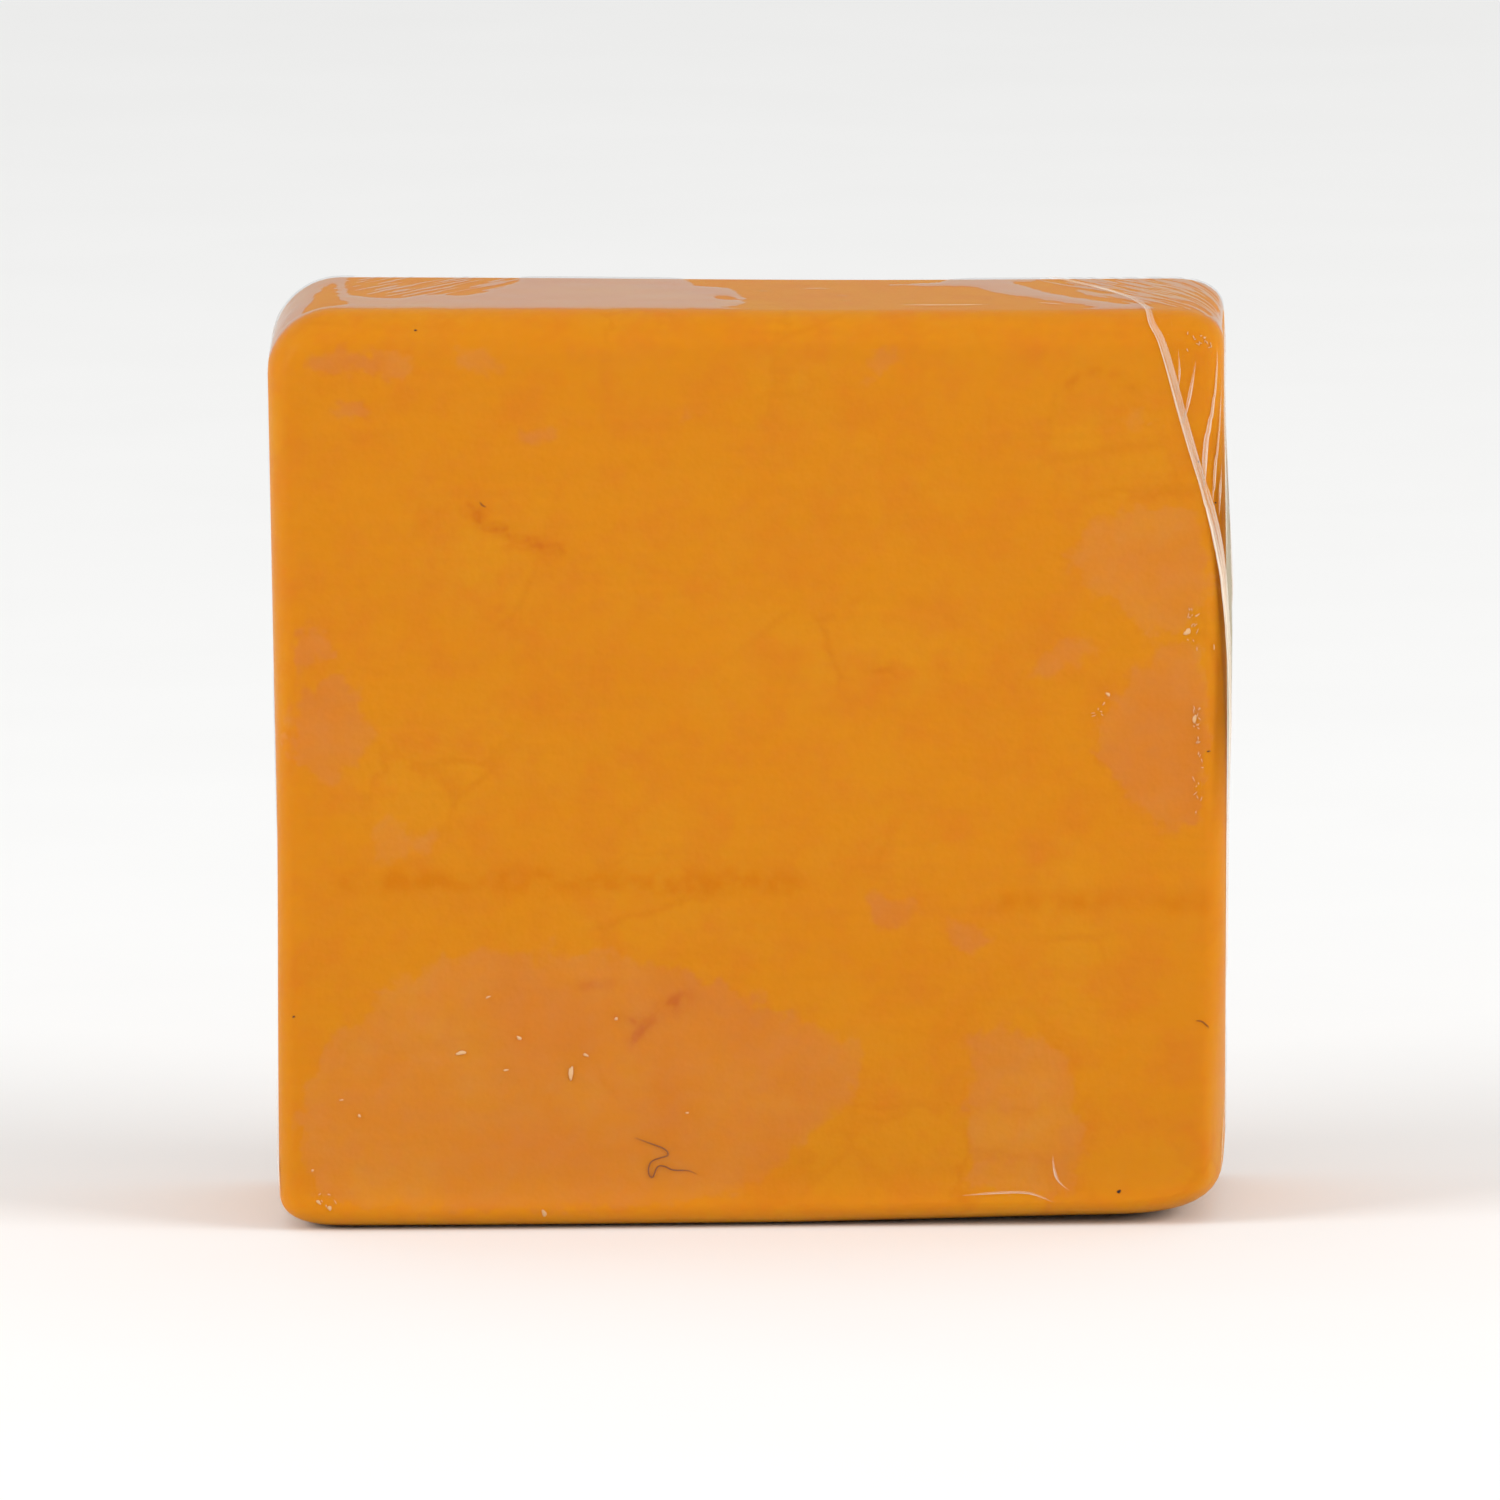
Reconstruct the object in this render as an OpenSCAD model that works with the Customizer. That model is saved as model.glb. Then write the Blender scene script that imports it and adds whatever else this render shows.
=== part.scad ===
// Sealed block of coloured cheddar: a square-faced cut from a large block, under half as deep
// as it is wide, standing on its narrow base in tight clear film. It is one closed solid out to
// the film. +X runs across the front to the right, +Y from the front to the back, +Z up.

/* [Block] */
// Width across the top
top_w = 184; // [140:1:230]
// How much narrower the base is than the top
base_taper = 1.5; // [0:0.5:8]
// Depth from the front face to the back face
block_d = 70; // [45:1:120]
// Height at the left end
left_h = 178.4; // [130:0.1:230]
// How much lower the top is at the right end
top_fall = 1.3; // [0:0.1:6]
// How much wider the back face is than the front face
back_flare = 1.6; // [0:0.2:6]

/* [Corners of the two faces] */
// Run of the round top left corner along the top and the end
top_left_run = 13.5; // [9:0.5:25]
// Run of the top right corner along the top
top_right_x = 12.5; // [8:0.5:25]
// Run of the top right corner down the end
top_right_z = 9; // [8:0.5:25]
// Run of the base right corner along the base
base_right_x = 24; // [8:0.5:30]
// Run of the base right corner up the end
base_right_z = 12.5; // [8:0.5:30]
// Run of the base left corner along the base
base_left_x = 15; // [8:0.5:30]
// Run of the base left corner up the end
base_left_z = 8; // [7:0.5:30]
// Squareness of the corners: 2 is an ellipse, more is squarer
squareness = 2.9; // [2:0.1:4]

/* [Edges of the two faces] */
// How far the rounded top edge reaches down a face
top_edge = 7; // [3:0.5:7.5]
// How far the rounded end edges reach across a face
end_edge = 4.5; // [2:0.5:7]
// How far the rounded base edge reaches up a face
base_edge = 5; // [2:0.5:6]
// How far the rounded edges run in from a face along the depth
edge_run = 8; // [4:0.5:12]
// Extra run of the front base edge at the right, where the block has slumped
slump_run = 14; // [0:0.5:18]

/* [Surface] */
// Height of the slow waves on the faces and the ends
wave = 0.35; // [0:0.05:1]
// How far the top sags along its back edge
top_sag = 0.5; // [0:0.1:2]
// How far the folded film stands off the right end
fold_out = 0.9; // [0:0.1:3]
// Height of the middle of that fold
fold_z = 118; // [60:1:125]
// Height of the fold from its middle to where it dies out
fold_reach = 48; // [20:1:55]

/* [Hidden] */
base_w = top_w - base_taper;
right_h = left_h - top_fall;
corner_steps = 8;
side_steps = 15;
edge_steps = 5;
end_rings = 5;
// Shares of the way out from the middle of a face at which its rings lie
face_rings = [0.3, 0.6, 0.84];
// Length of the waves across the faces and along the depth
wave_l = 130;
wave_d = 95;
// Place and half width of the sag in the top
sag_x = 20;
sag_half = 60;

// Corners in order round the face: sharp point, runs along x and z, which way it points, squareness
CORNERS = [
    [[-base_w / 2, 0], [base_left_x, base_left_z], [-1, -1], squareness],
    [[base_w / 2, 0], [base_right_x, base_right_z], [1, -1], squareness],
    [[top_w / 2, right_h], [top_right_x, top_right_z], [1, 1], squareness],
    [[-top_w / 2, left_h], [top_left_run, top_left_run], [-1, 1], 2],
];

// Goes smoothly from 0 at t = 0 to 1 at t = 1
function ease(t) = let(u = min(max(t, 0), 1)) u * u * (3 - 2 * u);

// Quarter of a superellipse: a share of the run along x and along z, in the direction of an angle
function arc_share(a, squared) =
    [cos(a), sin(a)] / pow(pow(cos(a), squared) + pow(sin(a), squared), 1 / squared);

// Point of corner k, drawn in towards the middle of the face by a share of each edge's rounding
function corner_point(k, angle, share) =
    let (
        c = CORNERS[k],
        inset = [end_edge, c[2].y > 0 ? top_edge : base_edge] * share,
        // corners are passed counter-clockwise, so every other one is walked from its end
        a = c[2].x * c[2].y > 0 ? angle : 90 - angle,
        s = arc_share(a, c[3])
    )
    [for (i = [0, 1]) c[0][i] + c[2][i] * ((c[1][i] - inset[i]) * s[i] - c[1][i])];

// Closed outline of a face, drawn in by a share of its edges' rounding
function outline(share) = [
    for (k = [0 : 3])
        let (start = corner_point(k, 90, share), next = corner_point((k + 1) % 4, 0, share))
            each [
                for (i = [0 : corner_steps - 1]) corner_point(k, 90 * i / corner_steps, share),
                for (i = [0 : side_steps - 1]) start + (next - start) * i / side_steps,
            ]
];

// How far the rounded edge runs in from the front face at a point of the outline
function front_run(p) =
    edge_run + slump_run * ease(2 * p.x / base_w) * ease(1 - p.y / (left_h / 3));

// A ring of points at a share of the rounding, at depths given by a list
function ring(share, depths) =
    let (line = outline(share)) [for (i = [0 : len(line) - 1]) [line[i].x, depths[i], line[i].y]];

// Rounded edge at the front: the side wall's start first if going_in, else the face's rim first
function front_edge(step) =
    let (a = 90 - 90 * step / edge_steps, line = outline(1 - cos(a)))
    ring(1 - cos(a), [for (p = line) -block_d / 2 + front_run(p) * (1 - sin(a))]);
function back_edge(step) =
    let (a = 90 * step / edge_steps, line = outline(1 - cos(a)))
    ring(1 - cos(a), [for (p = line) block_d / 2 - edge_run * (1 - sin(a))]);
function wall(step) =
    ring(0, [
        for (p = outline(0))
            let (front = -block_d / 2 + front_run(p), back = block_d / 2 - edge_run)
                front + (back - front) * step / (end_rings + 1)
    ]);

// A face's ring, drawn in towards the middle of the face
function face_ring(rim, share) =
    let (middle = [0, rim[0].y, left_h / 2]) [for (p = rim) middle + (p - middle) * share];

rings = [
    for (s = face_rings) face_ring(front_edge(0), s),
    for (i = [0 : edge_steps]) front_edge(i),
    for (i = [1 : end_rings]) wall(i),
    for (i = [0 : edge_steps]) back_edge(i),
    for (i = [1 : len(face_rings)]) face_ring(back_edge(edge_steps), face_rings[len(face_rings) - i]),
];

// How far the film's fold stands off the right end: most at its middle, less towards the back
function fold_at(p) =
    fold_out * ease(1 - abs(p.z - fold_z) / fold_reach) * ease(p.x / 20)
        * ease(1 - (p.y + block_d / 2) / block_d);

// Moves a point by the block's unevenness, and leaves the base flat
function uneven(p) =
    let (
        back = p.y / block_d + 0.5,
        flare = back_flare * back * p.x / top_w,
        end_wave = wave * sin(360 * p.y / wave_d + 2 * p.z),
        face_wave = wave * sin(360 * p.x / wave_l + 40) * cos(360 * p.z / wave_l - 25),
        sag = top_sag * exp(-pow((p.x - sag_x) / sag_half, 2)) * back * ease(p.z / left_h)
    )
    [p.x + flare + end_wave + fold_at(p), p.y + face_wave, p.z - sag];

module sealed_block()
{
    n = len(rings[0]);
    last = len(rings) - 1;
    front_middle = uneven([0, -block_d / 2, left_h / 2]);
    back_middle = uneven([0, block_d / 2, left_h / 2]);
    points = [for (r = rings) for (p = r) uneven(p), front_middle, back_middle];
    walls = [
        for (r = [0 : last - 1], i = [0 : n - 1])
            let (a = r * n + i, b = r * n + (i + 1) % n)
                each [[a, a + n, b], [b, a + n, b + n]]
    ];
    front = [for (i = [0 : n - 1]) [(last + 1) * n, i, (i + 1) % n]];
    back = [for (i = [0 : n - 1]) [(last + 1) * n + 1, last * n + (i + 1) % n, last * n + i]];
    color([0.86, 0.52, 0.13]) polyhedron(points, concat(walls, front, back));
}

sealed_block();
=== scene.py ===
import math
import bpy
import numpy as np
from mathutils import Euler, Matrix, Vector


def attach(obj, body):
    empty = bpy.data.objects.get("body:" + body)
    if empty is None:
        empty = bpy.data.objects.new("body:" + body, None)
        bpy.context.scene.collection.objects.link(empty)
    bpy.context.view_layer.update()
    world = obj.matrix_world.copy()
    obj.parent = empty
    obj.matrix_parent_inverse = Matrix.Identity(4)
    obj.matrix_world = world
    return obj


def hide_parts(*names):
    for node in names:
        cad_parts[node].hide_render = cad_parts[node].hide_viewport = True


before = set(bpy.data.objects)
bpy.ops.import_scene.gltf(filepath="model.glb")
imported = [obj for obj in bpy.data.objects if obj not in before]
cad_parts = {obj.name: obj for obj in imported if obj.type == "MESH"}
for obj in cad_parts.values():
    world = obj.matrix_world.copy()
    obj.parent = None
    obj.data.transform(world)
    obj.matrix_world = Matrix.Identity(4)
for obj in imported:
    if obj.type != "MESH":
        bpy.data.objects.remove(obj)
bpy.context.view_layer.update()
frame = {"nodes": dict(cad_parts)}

mm = 0.001
print("frame loaded: " + ", ".join(frame["nodes"]))


def smoothStep(t):
    # 0 below 0, 1 above 1, and 3t^2 - 2t^3 between
    t = np.clip(t, 0, 1)
    return t * t * (3 - 2 * t)


def cosSin(degrees):
    return math.cos(math.radians(degrees)), math.sin(math.radians(degrees))


def linear(hexColour):
    # sRGB hex to the linear colour that the shaders work in
    parts = [int(hexColour[i:i + 2], 16) / 255 for i in (1, 3, 5)]
    return [c / 12.92 if c <= 0.04045 else ((c + 0.055) / 1.055) ** 2.4 for c in parts] + [1.0]


def addNode(tree, kind, settings=None, links=None):
    # settings are the node's own options or its inputs' values; links feed its inputs from sockets, or from
    # the first output of a node
    node = tree.nodes.new("ShaderNode" + kind)
    for key, value in (settings or {}).items():
        if isinstance(key, str) and hasattr(node, key):
            setattr(node, key, value)
        else:
            node.inputs[key].default_value = value
    for key, source in (links or {}).items():
        socket = source.outputs[0] if isinstance(source, bpy.types.Node) else source
        tree.links.new(socket, node.inputs[key])
    return node


def blotches(tree, coords, size, detail, roughness, seen, given):
    # a noise whose blotches are a size in millimetres, and the same brought from one range to another
    noise = addNode(tree, "TexNoise", {"Scale": 1 / (size * mm), "Detail": detail, "Roughness": roughness},
                    {"Vector": coords})
    brought = addNode(tree, "MapRange", {"From Min": seen[0], "From Max": seen[1],
                                         "To Min": given[0], "To Max": given[1]}, {"Value": noise})
    return noise, brought


def newMaterial(name):
    material = bpy.data.materials.new(name)
    material.use_nodes = True
    material.node_tree.nodes.clear()
    return material, material.node_tree


def newMesh(name, points, faces, material):
    # points in millimetres and faces as an array of corner indices make one smooth mesh piece
    mesh = bpy.data.meshes.new(name)
    sides = faces.shape[1]
    mesh.vertices.add(len(points))
    mesh.vertices.foreach_set("co", (points * mm).astype(np.float32).ravel())
    mesh.loops.add(faces.size)
    mesh.loops.foreach_set("vertex_index", faces.astype(np.int32).ravel())
    mesh.polygons.add(len(faces))
    mesh.polygons.foreach_set("loop_start", np.arange(0, faces.size, sides, dtype=np.int32))
    mesh.polygons.foreach_set("use_smooth", np.ones(len(faces), dtype=bool))
    mesh.update(calc_edges=True)
    mesh.validate()
    mesh.materials.append(material)
    thing = bpy.data.objects.new(name, mesh)
    bpy.context.scene.collection.objects.link(thing)
    return thing


def ringQuads(index):
    # four-sided faces between rings of corners, from each ring to the next and each corner to the one ahead
    ahead = np.roll(index, -1, 1)
    return np.stack([index[:-1], index[1:], ahead[1:], ahead[:-1]], -1).reshape(-1, 4)


def ringTriangles(index):
    # the same faces, each cut in two
    quads = ringQuads(index)
    return np.concatenate([quads[:, [0, 1, 2]], quads[:, [0, 2, 3]]])


def newPiece(name, points, faces, material):
    piece = newMesh(name, points, faces, material)
    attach(piece, "root")
    return piece


def giveAttributes(mesh, given):
    for name, values in given.items():
        attribute = mesh.attributes.new(name, "FLOAT", "POINT")
        attribute.data.foreach_set("value", values.astype(np.float32))


# the camera looks across the block from a little above, far off, so that its edges stay almost parallel
camera = {"distance": 4.5, "elevation": 7.6, "roll": 0.42, "lens": 558, "film": 36, "reach": 60,
          "aimZ": 0.0885}
# large soft boxes at both sides: turn from the camera, elevation, distance, side and power
lights = {"turns": (-64, 64), "watts": (110, 122), "elevation": 24, "distance": 5.0, "side": 2.5}
# the room: the wall's grey near the horizon and the ceiling's overhead
room = {"wall": "#D8D8D8", "ceiling": "#DCDCDC", "ceilingFrom": 0.5}
floor = {"radius": 12.0, "colour": "#F9F9F8", "mottle": "#F6F6F5", "mottleSize": 83.3,
         "rings": 24, "around": 96}

scene = bpy.context.scene
scene.view_settings.view_transform = "Standard"
scene.view_settings.look = "None"
scene.cycles.max_bounces = 4  # plenty for one block on a board, and quicker
scene.cycles.diffuse_bounces = 2
scene.cycles.glossy_bounces = 2


def lookAt(thing, place, aim, roll=0.0):
    # turns a camera or light at a place towards an aim, then rolls it about its own axis
    thing.location = place
    turn = (Vector(aim) - Vector(place)).to_track_quat("-Z", "Y").to_euler()
    thing.rotation_euler = (turn.to_matrix() @ Euler((0, 0, math.radians(roll))).to_matrix()).to_euler()
    scene.collection.objects.link(thing)


def around(aim, turn, elevation, distance):
    # the point at a distance from the aim, turned about it from straight in front and raised
    (ahead, aside), (level, up) = cosSin(turn), cosSin(elevation)
    return (aim[0] + distance * aside * level, aim[1] - distance * ahead * level, aim[2] + distance * up)


aim = (0, 0, camera["aimZ"])
viewer = bpy.data.objects.new("viewer", bpy.data.cameras.new("viewer"))
viewer.data.lens = camera["lens"]
viewer.data.sensor_width = camera["film"]
viewer.data.clip_end = camera["reach"]
lookAt(viewer, around(aim, 0, camera["elevation"], camera["distance"]), aim, -camera["roll"])
scene.camera = viewer

for turn, watts in zip(lights["turns"], lights["watts"]):
    lamp = bpy.data.lights.new("softBox", "AREA")
    lamp.shape = "SQUARE"
    lamp.size = lights["side"]
    lamp.energy = watts
    softBox = bpy.data.objects.new("softBox", lamp)
    lookAt(softBox, around(aim, turn, lights["elevation"], lights["distance"]), aim)

world = bpy.data.worlds.new("room")
scene.world = world
world.use_nodes = True
sky = world.node_tree
sky.nodes.clear()
skyCoords = addNode(sky, "TexCoord")
height = addNode(sky, "SeparateXYZ", links={0: skyCoords.outputs["Generated"]})
rise = addNode(sky, "MapRange", {"From Max": room["ceilingFrom"], "interpolation_type": "SMOOTHSTEP"},
               {"Value": height.outputs["Z"]})
walls = addNode(sky, "Mix", {"data_type": "RGBA", 6: linear(room["wall"]), 7: linear(room["ceiling"])},
                {0: rise})
air = addNode(sky, "Background", links={"Color": walls.outputs[2]})
addNode(sky, "OutputWorld", links={"Surface": air})


# the floor: a flat disc of rings about a middle point, each ring's radius by the square of its number
def floorDisc(radius, rings, count):
    out = radius * (np.arange(1, rings + 1) / rings)[:, None] ** 2
    angle = np.linspace(0, 2 * np.pi, count, endpoint=False)
    ringPoints = np.stack([out * np.cos(angle), out * np.sin(angle), 0 * out * angle], -1).reshape(-1, 3)
    index = np.arange(rings * count).reshape(rings, count)
    middle = np.stack([np.full(count, rings * count), index[0], np.roll(index[0], -1)], -1)
    return np.concatenate([ringPoints, np.zeros((1, 3))]), np.concatenate([ringTriangles(index), middle])


# painted board, matt: plain, with the faint unevenness of a rolled coat
boardPaint, tree = newMaterial("mattWhiteBoard")
coords = addNode(tree, "TexCoord")
mottle = addNode(tree, "TexNoise", {"Scale": 1 / (floor["mottleSize"] * mm), "Detail": 2},
                 {"Vector": coords.outputs["Object"]})
shade = addNode(tree, "Mix", {"data_type": "RGBA", 6: linear(floor["colour"]), 7: linear(floor["mottle"])},
                {0: mottle})
paint = addNode(tree, "BsdfDiffuse", links={"Color": shade.outputs[2]})
addNode(tree, "OutputMaterial", links={"Surface": paint})
points, triangles = floorDisc(floor["radius"] / mm, floor["rings"], floor["around"])
board = newMesh("floorBoard", points, triangles, boardPaint)
print("stage, lights and camera set")


# sizes in millimetres, the same as the CAD solid's
block = {
    "topWidth": 184, "baseWidth": 182.5, "depth": 70, "leftHeight": 178.4, "rightHeight": 177.1,
    "backFlare": 1.6, "topEdge": 7, "endEdge": 4.5, "baseEdge": 5, "edgeRun": 8, "slumpRun": 14,
    "wave": 0.35, "waveLength": 130, "waveDepth": 95, "wavePhases": (40, -25, 2),
    "topSag": 0.5, "sagX": 20, "sagHalf": 60,
    "foldOut": 0.9, "foldZ": 118, "foldReach": 48, "foldFrom": 20,
}
# corners in order round the face: sharp point, runs along x and z, the way it points, squareness
blockCorners = [
    ((-block["baseWidth"] / 2, 0), (15, 8), (-1, -1), 2.9),
    ((block["baseWidth"] / 2, 0), (24, 12.5), (1, -1), 2.9),
    ((block["topWidth"] / 2, block["rightHeight"]), (12.5, 9), (1, 1), 2.9),
    ((-block["topWidth"] / 2, block["leftHeight"]), (13.5, 13.5), (-1, 1), 2),
]


# a quarter of a superellipse: the direction (cos, sin), divided by the length that puts it on the curve,
# from the corner's sharp point less its run; share draws it in towards the middle of the face
def cornerPoints(k, angle, share):
    sharp, run, way, squareness = (np.array(v, float) for v in blockCorners[k])
    inset = np.array([block["endEdge"], block["topEdge"] if way[1] > 0 else block["baseEdge"]])
    angle = angle if way[0] * way[1] > 0 else np.pi / 2 - angle
    c, s = np.cos(angle), np.sin(angle)
    length = (np.abs(c) ** squareness + np.abs(s) ** squareness) ** (1 / squareness)
    quarter = np.stack([c / length, s / length], -1)
    return sharp + way * ((run - inset * share[:, None, None]) * quarter - run)


# four sides, each from the middle of one corner's arc to the middle of the next, one outline for each share
def faceOutline(share, across, up, arc):
    half = np.linspace(0, np.pi / 4, arc + 1)
    sides = []
    for k, steps in enumerate((across, up, across, up)):
        leaving = cornerPoints(k, half + np.pi / 4, share)
        coming = cornerPoints((k + 1) % 4, half, share)
        t = np.linspace(0, 1, steps + 1)[1:-1, None]
        straight = leaving[:, -1:] * (1 - t) + coming[:, :1] * t
        sides.append(np.concatenate([leaving, straight, coming[:, :-1]], 1))
    return np.concatenate(sides, 1), sides[0].shape[1], sides[1].shape[1]


# a face's inside points by blending its four sides: each point is the sum of what the two pairs of
# opposite sides give, less what the four corners give
def fillFace(base, right, top, left):
    u = ((base[:, 0] - base[0, 0]) / (base[-1, 0] - base[0, 0]))[None, :, None]
    v = ((left[:, 1] - left[0, 1]) / (left[-1, 1] - left[0, 1]))[:, None, None]
    pairs = (1 - v) * base[None] + v * top[None] + (1 - u) * left[:, None] + u * right[:, None]
    corners = (1 - v) * ((1 - u) * base[0] + u * base[-1]) + v * ((1 - u) * top[0] + u * top[-1])
    return pairs - corners


# the block's unevenness: a flare to the back, slow sine waves, a sag in the top and the fold's stand-off
def uneven(p, bulge):
    x, y, z = p.T
    back = y / block["depth"] + 0.5
    flare = block["backFlare"] * back * x / block["topWidth"]
    phaseX, phaseZ, twist = np.radians(block["wavePhases"])
    endWave = block["wave"] * np.sin(2 * np.pi * y / block["waveDepth"] + twist * z)
    faceWave = (block["wave"] * np.sin(2 * np.pi * x / block["waveLength"] + phaseX)
                * np.cos(2 * np.pi * z / block["waveLength"] + phaseZ))
    sag = (block["topSag"] * np.exp(-((x - block["sagX"]) / block["sagHalf"]) ** 2) * back
           * smoothStep(z / block["leftHeight"]))
    fold = (bulge * smoothStep(1 - np.abs(z - block["foldZ"]) / block["foldReach"])
            * smoothStep(x / block["foldFrom"]) * smoothStep(1 - back))
    return np.stack([x + flare + endWave + fold, y + faceWave, z - sag], -1)


# the whole closed surface: a front face, rings that turn round a quarter of a circle into the wall,
# the wall's rings, the same quarter at the back, and the back face
def blockSurface(across, up, deep, arc, rounds, bulge):
    turn = np.linspace(np.pi / 2, 0, rounds + 1)
    edgeShare = 1 - np.cos(turn)
    share = np.concatenate([edgeShare, np.zeros(deep - 1), edgeShare[::-1]])
    line, nu, nv = faceOutline(share, across, up, arc)
    frontRun = block["edgeRun"] + (block["slumpRun"] * smoothStep(2 * line[..., 0] / block["baseWidth"])
                                   * smoothStep(1 - line[..., 1] / (block["leftHeight"] / 3)))
    half = block["depth"] / 2
    depthAt = np.empty(line.shape[:2])
    depthAt[:rounds + 1] = -half + frontRun[:rounds + 1] * (1 - np.sin(turn))[:, None]
    depthAt[-rounds - 1:] = half - block["edgeRun"] * (1 - np.sin(turn[::-1]))[:, None]
    t = np.linspace(0, 1, deep + 1)[1:-1, None]
    depthAt[rounds + 1:-rounds - 1] = depthAt[rounds] * (1 - t) + depthAt[-rounds - 1] * t
    rings, count = line.shape[:2]
    points = [np.stack([line[..., 0], depthAt, line[..., 1]], -1).reshape(-1, 3)]
    index = np.arange(rings * count).reshape(rings, count)
    quads = [ringQuads(index)]
    for ring, forward in ((0, True), (rings - 1, False)):
        def sidesOf(loop):
            return (loop[:nu + 1], loop[nu:nu + nv + 1], loop[nu + nv:2 * nu + nv + 1][::-1],
                    np.concatenate([loop[2 * nu + nv:], loop[:1]])[::-1])
        face = fillFace(*sidesOf(line[ring]))
        grid = np.empty((nv + 1, nu + 1), int)
        grid[0], grid[:, -1], grid[-1], grid[:, 0] = sidesOf(index[ring])
        first = sum(len(p) for p in points)
        grid[1:-1, 1:-1] = first + np.arange((nv - 1) * (nu - 1)).reshape(nv - 1, nu - 1)
        inner = face[1:-1, 1:-1].reshape(-1, 2)
        points.append(np.stack([inner[:, 0], np.full(len(inner), depthAt[ring, 0]), inner[:, 1]], -1))
        quad = np.stack([grid[:-1, :-1], grid[:-1, 1:], grid[1:, 1:], grid[1:, :-1]], -1).reshape(-1, 4)
        quads.append(quad if forward else quad[:, ::-1])
    return uneven(np.concatenate(points), bulge), np.concatenate(quads)


# each corner's normal: the sum of the cross products of the diagonals of the quads that meet there
def cornerNormals(points, quads):
    cross = np.cross(points[quads[:, 2]] - points[quads[:, 0]], points[quads[:, 3]] - points[quads[:, 1]])
    total = np.zeros_like(points)
    for k in range(4):
        np.add.at(total, quads[:, k], cross)
    return total / np.linalg.norm(total, axis=1, keepdims=True)


# corners cut twice: each side gives two points, a quarter and three quarters along it
def softened(outline, closed=True):
    line = np.array(outline, float)
    for _ in range(2):
        ahead = np.roll(line, -1, 0) if closed else line[1:]
        here = line if closed else line[:-1]
        cut = np.stack([here * 0.75 + ahead * 0.25, here * 0.25 + ahead * 0.75], 1).reshape(-1, line.shape[1])
        line = cut if closed else np.concatenate([line[:1], cut, line[-1:]])
    return line


# distance of each point from the nearest of several sides, by the foot of the perpendicular on each side
def sideDistance(points, start, end):
    side = end - start
    t = np.einsum("pik,ik->pi", points[:, None] - start, side) / np.maximum((side ** 2).sum(-1), 1e-9)
    foot = start + side * np.clip(t, 0, 1)[..., None]
    return np.sqrt(((points[:, None] - foot) ** 2).sum(-1)).min(1)


# how far inside a closed outline each point lies, negative outside: a point is inside when a line from
# it to the right crosses the sides an odd number of times; only points near the outline are worked out
def depthInside(points, outline, reach):
    line = softened(outline)
    ahead = np.roll(line, -1, 0)
    depth = np.full(len(points), -reach)
    near = np.all((points > line.min(0) - reach) & (points < line.max(0) + reach), 1)
    p = points[near]
    above = (line[:, 1] > p[:, 1:]) != (ahead[:, 1] > p[:, 1:])
    rise = np.where(ahead[:, 1] == line[:, 1], 1e-9, ahead[:, 1] - line[:, 1])
    crossing = line[:, 0] + (p[:, 1:] - line[:, 1]) * (ahead[:, 0] - line[:, 0]) / rise
    inside = (above & (p[:, :1] < crossing)).sum(1) % 2 == 1
    distance = sideDistance(p, line, ahead)
    depth[near] = np.clip(np.where(inside, distance, -distance), -reach, reach)
    return depth


# nearness to a path: 1 on it, 0 at a distance away, and smooth between
def nearPath(points, path, width):
    line = softened(path, closed=False)
    value = np.zeros(len(points))
    near = np.all((points > line.min(0) - width) & (points < line.max(0) + width), 1)
    value[near] = 1 - smoothStep(sideDistance(points[near], line[:-1], line[1:]) / width)
    return value


# an oval outline, turned by an angle, whose radius swells and shrinks with a few sine waves
def wobblyOval(seed, across, up, halfWide, halfHigh, turn=0, wobble=0.12):
    waves = np.random.default_rng(seed)
    angle = np.linspace(0, 2 * np.pi, 18, endpoint=False)
    radius = 1 + wobble * sum(waves.normal() * np.sin(k * angle + waves.uniform(0, 6.3)) / k ** 0.5
                              for k in (2, 3, 5))
    oval = np.stack([halfWide * radius * np.cos(angle), halfHigh * radius * np.sin(angle)], -1)
    c, s = cosSin(turn)
    return oval @ np.array([[c, s], [-s, c]]) + (across, up)


def ovals(firstSeed, rows):
    return [wobblyOval(firstSeed + k, *row) for k, row in enumerate(rows)]


# where the film stands free of the cheese on the two large faces, across and up, in millimetres: outlines,
# and ovals by their middle, half width and half height, turn and wobble
frontFree = [
    [(-87, 30), (-79, 38), (-66, 51), (-48, 55), (-31, 54), (-14, 51), (-2, 46), (9, 40), (19, 37), (22, 34),
     (18, 25), (13, 20), (4, 12), (-7, 5), (-45, 4), (-83, 5), (-87, 13)],
    [(41, 38), (48, 39), (59, 36), (61, 29), (63, 19), (63, 6), (52, 6.5), (41, 7), (42, 14), (42, 29)],
    [(60, 129), (66, 136), (75, 140), (85, 140), (88, 134), (88, 118), (79, 114), (72, 120), (64, 125)],
    [(67, 99), (71, 105), (77, 110), (80, 114), (88, 116), (88, 79), (79, 76), (75, 81), (71, 87), (67, 93)],
]
frontFree += ovals(1, [(-81, 98, 7.5, 10), (-84, 114, 4, 3), (-74, 168.5, 8.5, 3.2),
                       (-52, 169, 4.8, 1.9, -25), (25, 168, 4, 2.8), (-41, 154.5, 3.5, 1.4),
                       (-76, 159, 2.6, 1.7), (-12, 158, 1.6, 1), (-67, 76, 6.8, 3.2, 0, 0.3),
                       (60, 110.6, 7, 2, 27), (27, 62, 4.8, 3.2, 0, 0.2), (42, 56.5, 3.5, 2.5),
                       (74, 155.5, 5.5, 0.9)])
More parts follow.
